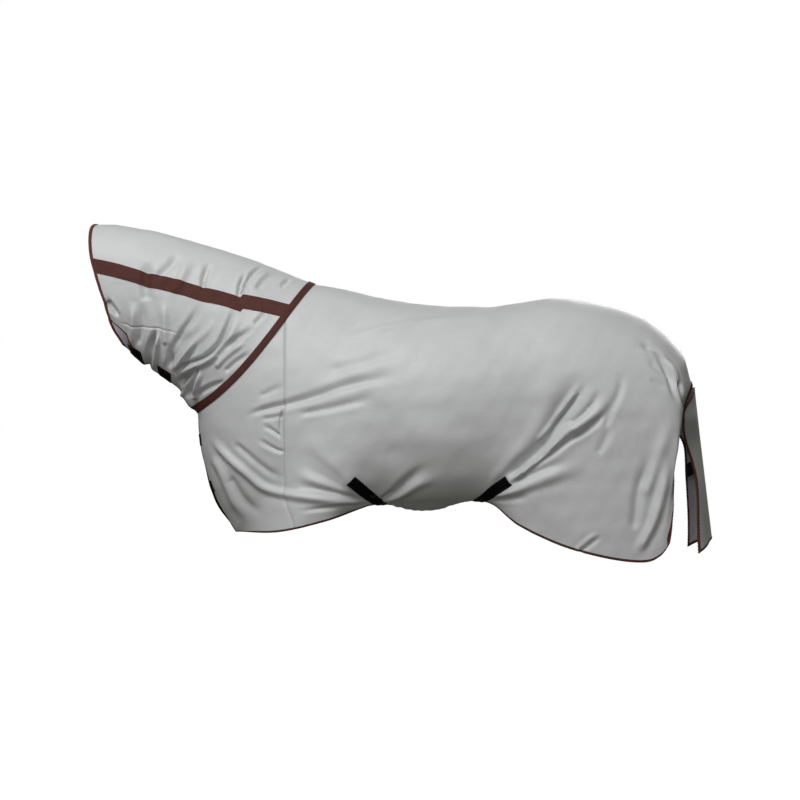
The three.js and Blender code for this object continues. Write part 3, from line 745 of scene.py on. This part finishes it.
def make_body(label, side):
    """One side's body cloth and shoulder cloth, the overlocked seam between them and the edge bindings."""
    downs = np.linspace(TOP_SHARE, 1, 186)
    seam = station_at_x(downs, seam_x(downs))
    at = seam[:, None] + (REAR - seam)[:, None] * np.linspace(0, 1, 262)[None]
    grid = drape(BODY, at, downs[:, None], side)
    panel = shell(f"body_cloth_{label}", grid, side, 0, CLOTH, [SILVER, LINING])
    riding(panel, f"barrel_panel_{label}", f"flank_panel_{label}", f"quarter_panel_{label}")

    rows = np.linspace(downs[np.argmax(seam > 0.02)], 1, 160)
    seam = station_at_x(rows, seam_x(rows))
    at = seam[:, None] * np.linspace(0, 1, 100)[None]
    grid = drape(BODY, at, rows[:, None], side)
    shoulder = shell(f"shoulder_cloth_{label}", grid, side, 0, CLOTH, [SILVER, LINING])
    riding(shoulder, f"shoulder_panel_{label}")
    line, normal = grid[:, -1], normals_of(grid, side)[:, -1]
    running_stitch(f"shoulder_overlock_{label}", line + normal * CLOTH, normal, GREY_THREAD, pitch=8, long=7,
                   thick=0.7, across=0.7)

    strips = [
        ("chest_edge", 0.02, CORNER, f"chest_binding_{label}", 8),
        ("front_hem", CORNER, BELLY_FRONT, f"hem_front_{label}", 8),
        ("belly_hem", BELLY_FRONT, BELLY_REAR, f"belly_edge_{label}", 6),
        ("rear_hem", BELLY_REAR, REAR, f"hem_rear_{label}", 8),
    ]
    for name, start, end, replaced, width in strips:
        ats = np.linspace(start, end, 280)
        finish = SILVER if (name, side) == ("belly_hem", -1) else BROWN_TAPE
        edge, inside = edge_of(BODY, ats, 1.0, side), edge_of(BODY, ats, 0.99, side)
        binding(f"{name}_{label}", replaced, edge, inside, width, 1.3, finish)
    fine = np.linspace(0.002, 0.995, 460)
    edge, inside = edge_of(BODY, float(REAR), fine, side), edge_of(BODY, REAR - 0.05, fine, side)
    binding(f"rear_edge_{label}", f"rear_edge_binding_{label}", edge, inside, 13, 2.6, GATHERED, gather=0.8)
    return panel, shoulder


def make_top_tapes():
    """The tapes inside the crest and the back, over the seam between the two sides."""
    for name, node_name, rows, stations in (
        ("crest_tape", "crest_seam_tape", NECK, np.linspace(0.1, NECK_BASE - 0.05, 120)),
        ("back_tape", "back_seam_tape", BODY, np.linspace(0.05, REAR - 1.05, 200)),
    ):
        line = skin(rows, stations, 0.0, 1)
        grid = np.stack([line * [1, 0, 1] + [0, y, -3.2 - abs(y) * 0.12] for y in np.linspace(-9, 9, 5)])
        strip(name, node_name, grid, -1, 0, 1.0, BLACK)


def across_edge(rows, station, width):
    """Stations across a strap that passes round the lower edge."""
    pace = np.linalg.norm(skin(rows, station + STEP, 1.0, 1) - skin(rows, station, 1.0, 1)) / STEP
    return (station + np.linspace(-0.5, 0.5, 11) * width / pace)[:, None]


def crossing(rows, station, width, near_share, off_share):
    """A strap's path round the lower edge, from the near side to the off side."""
    stations = across_edge(rows, station, width)
    shares = np.linspace(near_share, 0.012, 20)[None]
    lift = STRAP_LIFT - 1.4 * smooth(0.25, 1, shares / near_share)
    near = drape(rows, stations, 1 - shares, -1, lift)
    off = drape(rows, stations, 1 - np.linspace(0.012, off_share, 24)[None], 1, STRAP_LIFT)
    return np.concatenate([near, off], axis=1)


def make_placket():
    """The black fastening strip of the off front, which stands forward of the near front's edge."""
    stations = np.linspace(1.26, 2.68, 120)
    edge, inside = drape(BODY, stations, 1.0, 1), drape(BODY, stations, 0.985, 1)
    bulge = (3 + 14 * np.sin(math.pi * np.linspace(0, 1, 120)) ** 1.3)[:, None]
    binding("chest_placket", None, edge - unit(inside - edge) * bulge, inside, 34, 2.4, BLACK)


def ribbon(side, stations, downs, width, lift=0.0):
    """A band of the given width along a path over the body cloth."""
    centre = skin(BODY, stations, downs, side)
    a = (skin(BODY, stations + STEP, downs, side) - centre) / STEP
    b = (centre - skin(BODY, stations, downs - STEP, side)) / STEP
    across = unit(np.cross(unit(np.gradient(centre, axis=0)), np.cross(a, b)))
    aa, bb, ab = (a * a).sum(-1), (b * b).sum(-1), (a * b).sum(-1)
    aw, bw = (a * across).sum(-1), (b * across).sum(-1)
    scale = np.linspace(-width / 2, width / 2, 11)[:, None] / (aa * bb - ab * ab)
    return drape(BODY, stations + scale * (aw * bb - bw * ab),
                 np.minimum(downs + scale * (bw * aa - aw * ab), 1), side, lift)


def make_cross_straps():
    """Throat tabs and chest straps, sewn to the near side, with their loop patches on the off side."""
    straps = [  # name, cloth, station, width, shares covered on the near and off sides, loop patch
        ("throat_tab_front", NECK, 0.85, 50, 0.19, 0.17, "throat_front_loop_off"),
        ("throat_tab_rear", NECK, 1.95, 50, 0.15, 0.17, "throat_rear_loop_off"),
        ("chest_strap_upper", BODY, 0.72, 40, 0.04, 0.16, "chest_upper_loop_off"),
        ("chest_strap_lower", BODY, 1.75, 40, 0.04, 0.16, "chest_lower_loop_off"),
    ]
    for name, rows, station, width, near_share, off_share, patch_node in straps:
        grid = crossing(rows, station, width, near_share, off_share)
        strip(f"{name}_webbing", name, grid, 1, 0, 1.5, BLACK, crown=0.5, body=name)
        normal = normals_of(grid, 1)
        stitch_lift = 1.9
        for k, row in enumerate((1, -2)):
            line = grid[row] + normal[row] * stitch_lift
            running_stitch(f"{name}_stitching_{k}", line, normal[row], DARK_RED_THREAD, name, pitch=5.5,
                           long=4)
        line = grid[:, 2] + normal[:, 2] * stitch_lift
        running_stitch(f"{name}_end_stitching", line, normal[:, 2], DARK_RED_THREAD, name, pitch=5, long=4,
                       thick=0.6)
        shares = np.linspace(0.45, 0.95, 18)[None] * off_share
        patch = drape(rows, across_edge(rows, station, width - 4), 1 - shares, 1)
        strip(f"{patch_node}_patch", patch_node, patch, 1, CLOTH + 0.1, 1.0, LOOP_PILE)


def belly_surface(u, v):
    """The belly flap: from the near lower edge under the belly and up outside the off lower edge."""
    u, v = np.broadcast_arrays(np.asarray(u, float), np.asarray(v, float))
    turn = 0.62  # share of the flap that passes under the belly
    covered = 0.12  # share of the off side's section that the rest covers
    at = BELLY_START + BELLY_SPAN * u
    near = drape(BODY, at, 1.0, -1)
    off = drape(BODY, at, 1.0, 1, lift=BELLY_LIFT)
    w = np.clip(v / turn, 0, 1)[..., None]
    under = near * (1 - w) + off * w
    half = np.abs(near[..., 1])
    sag = 5 + 34 * np.exp(-(((u - 0.45) / 0.3) ** 2))
    under[..., 2] -= sag * np.clip(1 - (under[..., 1] / half) ** 2, 0, 1) ** 1.4
    ripple = slack(under[..., 0], under[..., 1], FINE_WAVES, 1.0) + 2.2 * np.sin(under[..., 0] / 26)
    under[..., 2] += ripple * np.sin(math.pi * w[..., 0])
    up = drape(BODY, at, 1 - covered * np.clip((v - turn) / (1 - turn), 0, 1), 1, lift=BELLY_LIFT)
    return np.where((v < turn)[..., None], under, up)


def make_belly():
    """The belly flap with its webbing margins, its hook pads and the loop patches that take them."""
    rows = np.concatenate([np.linspace(0, 0.6, 70), np.linspace(0.625, 1, 40)])
    columns = np.linspace(0, 1, 140)
    grid = belly_surface(columns[None], rows[:, None])
    flap = shell("belly_flap_cloth", grid, -1, 0, CLOTH, [SILVER, LINING])
    riding(flap, "belly_flap", body="belly_flap", bends=True)
    for label, low, high in (("front", 0.0, 0.105), ("rear", 0.895, 1.0)):
        margin = belly_surface(np.linspace(low, high, 9)[None], rows[:, None])
        strip(f"belly_flap_webbing_{label}", f"belly_flap_{label}_webbing", margin, -1, CLOTH + 0.3, 1.2,
              BLACK, body="belly_flap", bends=True)
        middle = np.linspace(low + 0.012, high - 0.012, 7)
        inner = belly_surface(middle[None], np.linspace(0.75, 0.95, 24)[:, None])
        strip(f"belly_hook_pad_{label}", f"belly_hook_{label}", inner, -1, -1.5, 1.2, LOOP_PILE,
              body="belly_flap")
        stations = BELLY_START + BELLY_SPAN * middle
        patch = drape(BODY, stations[None], np.linspace(0.9, 0.95, 20)[:, None], 1)
        strip(f"belly_loop_patch_{label}", f"belly_loop_{label}_off", patch, 1, CLOTH + 0.1, 1.0, LOOP_PILE)
    fine = np.linspace(0, 1, 260)
    edge, inside = belly_surface(fine, 1.0), belly_surface(fine, 0.985)
    binding("belly_flap_end", "belly_flap_end_binding", edge, inside, 9, 2.0, BROWN_TAPE, body="belly_flap")


def make_belly_straps():
    """The two straps sewn on the near side, with stitching along and across, and a ring on the front one."""
    for label, line, end in (
        ("front", [(131, -663), (170, -698), (203, -727)], 6.16),
        ("rear", [(650, -664), (608, -697), (574, -726)], 7.84),
    ):
        x, z = np.array(line, float).T
        route = spline(np.vstack([np.transpose(near_side(x, z)), (end, 1.0)]), 44)
        grid = ribbon(-1, route[:, 0], route[:, 1], 38)
        side = 1 if normals_of(grid, 1)[5, 10, 1] < 0 else -1
        strip(f"belly_strap_{label}", f"belly_strap_{label}_near", grid, side, CLOTH + 0.3, 1.6, BLACK,
              crown=0.5)
        normal = normals_of(grid, side)
        lines = [(grid[row], normal[row]) for row in (1, -2)] + [(grid[:, k], normal[:, k]) for k in (2, 6)]
        for k, (line, out) in enumerate(lines):
            running_stitch(f"belly_strap_{label}_stitching_{k}", line + out * (CLOTH + 2.2), out, DARK_THREAD,
                           pitch=5.5, long=4)
        if label == "front":
            bpy.ops.object.select_all(action="DESELECT")
            centre = (grid[8, 24] + normal[8, 24] * 5) * MM
            turned = (math.radians(75), math.radians(25), 0)
            bpy.ops.mesh.primitive_torus_add(location=centre, rotation=turned, major_radius=0.0065,
                                             minor_radius=0.0013, major_segments=32, minor_segments=10)
            ring = bpy.context.object
            bpy.ops.object.transform_apply(location=True, rotation=True, scale=True)
            ring.name = "belly_strap_ring"
            ring.data.materials.append(BLACK_NYLON)
            bpy.ops.object.shade_smooth()
            riding(ring)


def tail_surface(u, v):
    """The tail flap: its sides lie on the rear edges near the dock and turn forward round the tail."""
    u, v = np.broadcast_arrays(np.asarray(u, float), np.asarray(v, float))
    side = np.abs(u) ** 1.6
    widest = 0.175  # share of the length at which the yoke is widest
    span = 0.115
    reach = np.where((v > widest) & (u < 0), 0.28, span)  # the near side stays turned forward further down
    yoke = np.exp(-(((v - widest) / span) ** 2))
    forward = np.exp(-(((v - widest) / reach) ** 2))
    x = DOCK_X + 60 * v - (64 * v ** 0.8 + 68 * forward) * side
    y = u * (48 + 92 * np.sqrt(v) + 110 * yoke)
    z = DOCK_Z - FLAP_LENGTH * v - 40 * v * side
    x = x + 3 * v * np.sin(y / 21 + 0.6) + 2.2 * np.sin(v * 9 + 1) * v * u
    x = x + 5 * np.sin(v * 5.2) * (np.abs(u) ** 3) * np.sign(-u)
    y = y + 4 * np.sin(v * 11) * u * v
    return np.stack([x, y, z], -1)


def make_tail():
    """The tail flap with its gathered edges, its hem and the strap across its inside."""
    rows, columns = np.linspace(0, 1, 130), np.linspace(-1, 1, 90)
    grid = tail_surface(columns[None], rows[:, None])
    flap = shell("tail_flap_cloth", grid, -1, 0, CLOTH, [SILVER, LINING])
    riding(flap, "tail_flap", body="tail_flap", bends=True)
    for label, u in (("near", -1.0), ("off", 1.0)):
        fine = np.linspace(0.03, 1, 300)
        edge, inside = tail_surface(u, fine), tail_surface(u * 0.97, fine)
        binding(f"tail_flap_edge_{label}", f"tail_flap_binding_{label}", edge, inside, 9, 2.6, GATHERED,
                gather=0.8, body="tail_flap", bends=True)
    fine = np.linspace(-1, 1, 240)
    edge, inside = tail_surface(fine, 1.0), tail_surface(fine, 0.985)
    binding("tail_flap_lower_hem", "tail_flap_hem", edge, inside, 8, 1.4, BROWN_TAPE, body="tail_flap")
    share = np.linspace(0, 1, 60)[None]
    half = 20 / FLAP_LENGTH
    across = np.linspace(-half, half, 7)[:, None]
    near, off = tail_surface(-0.97, 0.49 + across), tail_surface(0.97, 0.54 + across)
    grid = near * (1 - share[..., None]) + off * share[..., None]
    grid[..., 0] -= 3 + 6 * np.sin(math.pi * share)
    strip("tail_strap_webbing", "tail_strap", grid, 1, 0, 1.5, BLACK, body="tail_flap")


# ---------------------------------------------------------------------------------------------------
# Camera, light and floor

def add_camera():
    data = bpy.data.cameras.new("camera")
    data.sensor_width = 36
    distance = 6.0
    wide = 2.76  # metres across the view where the sheet stands
    data.lens = data.sensor_width * distance / wide
    camera = bpy.data.objects.new("camera", data)
    camera.location = (0.293, -distance, -0.397)
    camera.rotation_euler = (math.pi / 2, 0, 0)
    bpy.context.collection.objects.link(camera)
    bpy.context.scene.camera = camera


def add_light(name, place, aim, size, power):
    data = bpy.data.lights.new(name, "AREA")
    data.shape = "DISK"
    data.size = size
    data.energy = power
    light = bpy.data.objects.new(name, data)
    light.location = place
    direction = np.array(aim) - np.array(place)
    light.rotation_euler = (
        math.atan2(math.hypot(direction[0], direction[1]), -direction[2]),
        0,
        math.atan2(direction[0], -direction[1]) + math.pi,
    )
    bpy.context.collection.objects.link(light)


def glowing(name):
    """Pure white that takes no shading, so that the floor and the walls read as one plain sweep."""
    paint = bpy.data.materials.new(name)
    paint.use_nodes = True
    shader = paint.node_tree.nodes["Principled BSDF"]
    shader.inputs["Base Color"].default_value = rgb("000000")
    shader.inputs["Roughness"].default_value = 0.9
    shader.inputs["Specular IOR Level"].default_value = 0.1
    shader.inputs["Emission Color"].default_value = rgb("FFFFFF")
    shader.inputs["Emission Strength"].default_value = 1.0
    return paint


def add_studio():
    """Dim even room light, a pale floor and white walls far behind it."""
    world = bpy.data.worlds.new("studio")
    bpy.context.scene.world = world
    world.use_nodes = True
    world.node_tree.nodes["Background"].inputs["Color"].default_value = rgb("57564F")
    bpy.ops.mesh.primitive_plane_add(size=120, location=(0, 0, FLOOR_Z))
    floor = bpy.context.object
    floor.name = "floor"
    floor.data.materials.append(glowing("pale_floor"))
    bpy.ops.mesh.primitive_uv_sphere_add(radius=60, segments=48, ring_count=24, location=(0, 0, FLOOR_Z))
    walls = bpy.context.object
    walls.name = "white_walls"
    walls.data.materials.append(glowing("white_walls"))
    for piece in (floor, walls):
        piece.visible_diffuse = False
        piece.visible_glossy = False
        piece.visible_shadow = False


bpy.ops.object.select_all(action="DESELECT")
add_camera()
add_studio()
MIDDLE = (0.3, 0, -0.3)  # the middle of the sheet
add_light("key", (-1.9, -5.4, 5.1), MIDDLE, 4.0, 435)
add_light("front_fill", (-1.0, -8.0, 1.0), MIDDLE, 4.0, 115)
add_light("top_fill", (0.3, -0.5, 6.5), MIDDLE, 5.0, 50)
add_light("back_fill", (3.3, 6.6, 2.4), MIDDLE, 4.0, 290)
bpy.context.scene.view_settings.view_transform = "Standard"

for label, side in (("near", -1), ("off", 1)):
    make_neck(label, side)
    for cloth in make_body(label, side):
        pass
make_top_tapes()
make_cross_straps()
make_placket()
make_belly()
make_belly_straps()
make_tail()
